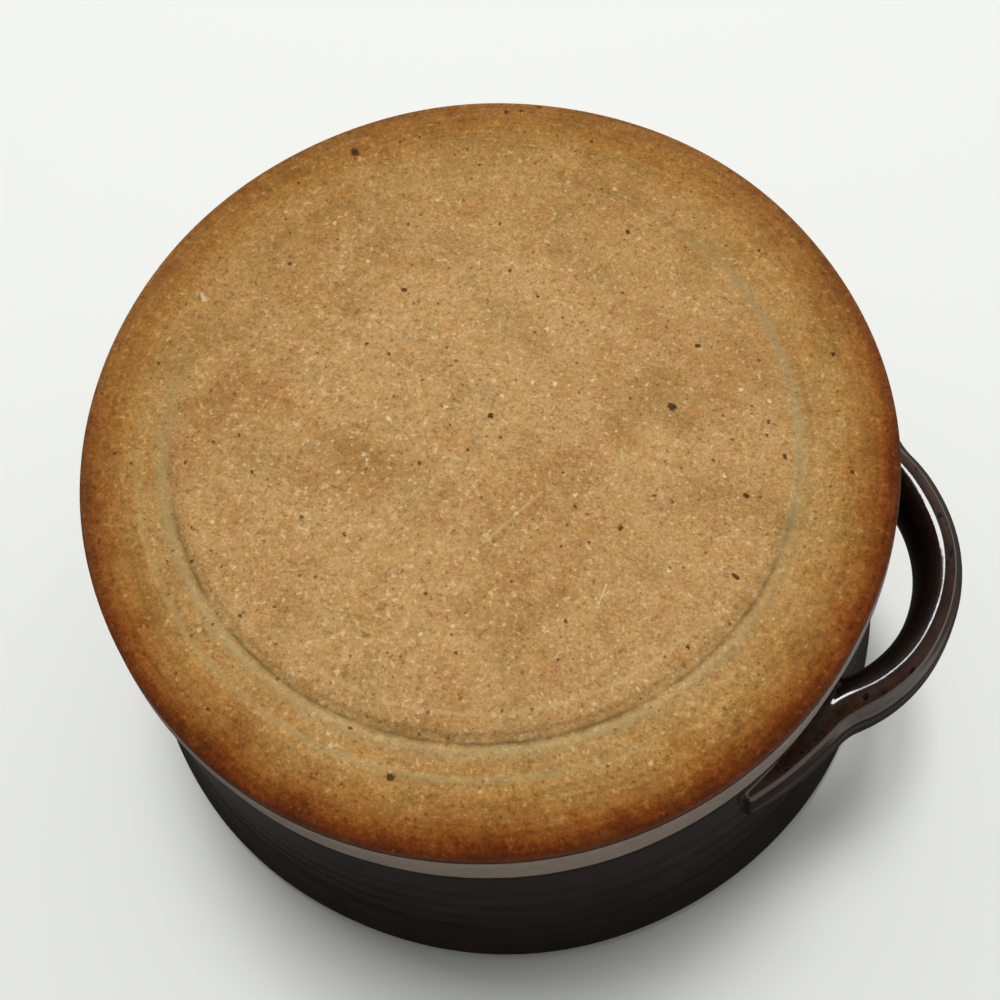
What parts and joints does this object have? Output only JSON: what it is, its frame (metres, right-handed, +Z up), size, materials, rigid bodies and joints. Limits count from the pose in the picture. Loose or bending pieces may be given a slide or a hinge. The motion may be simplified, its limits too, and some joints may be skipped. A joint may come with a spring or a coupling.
{
  "type": "crock bowl",
  "caption": "Wheel-thrown stoneware serving bowl with a bare flat base, a trimmed foot band, a flared dark-glazed wall, a rolled lip and a small ear handle on its side.",
  "frame": {"origin": "middle of the bare base, on the face that the bowl rests on", "axes": "+Z up the bowl's axis towards the rim, +X out through the middle of the handle"},
  "size_m": [0.1328, 0.13, 0.064],
  "materials": {
    "stoneware": "bare fired stoneware, toasted at the edge",
    "slip": "fired slip",
    "iron_glaze": "glossy iron glaze",
    "liner_glaze": "glossy liner glaze"
  },
  "bodies": {
    "root": {"bowl_body": "stoneware", "handle_strap": "stoneware", "handle_slip": "slip", "outer_glaze": "iron_glaze", "inner_glaze": "liner_glaze", "handle_glaze": "iron_glaze"}
  },
  "joints": []
}
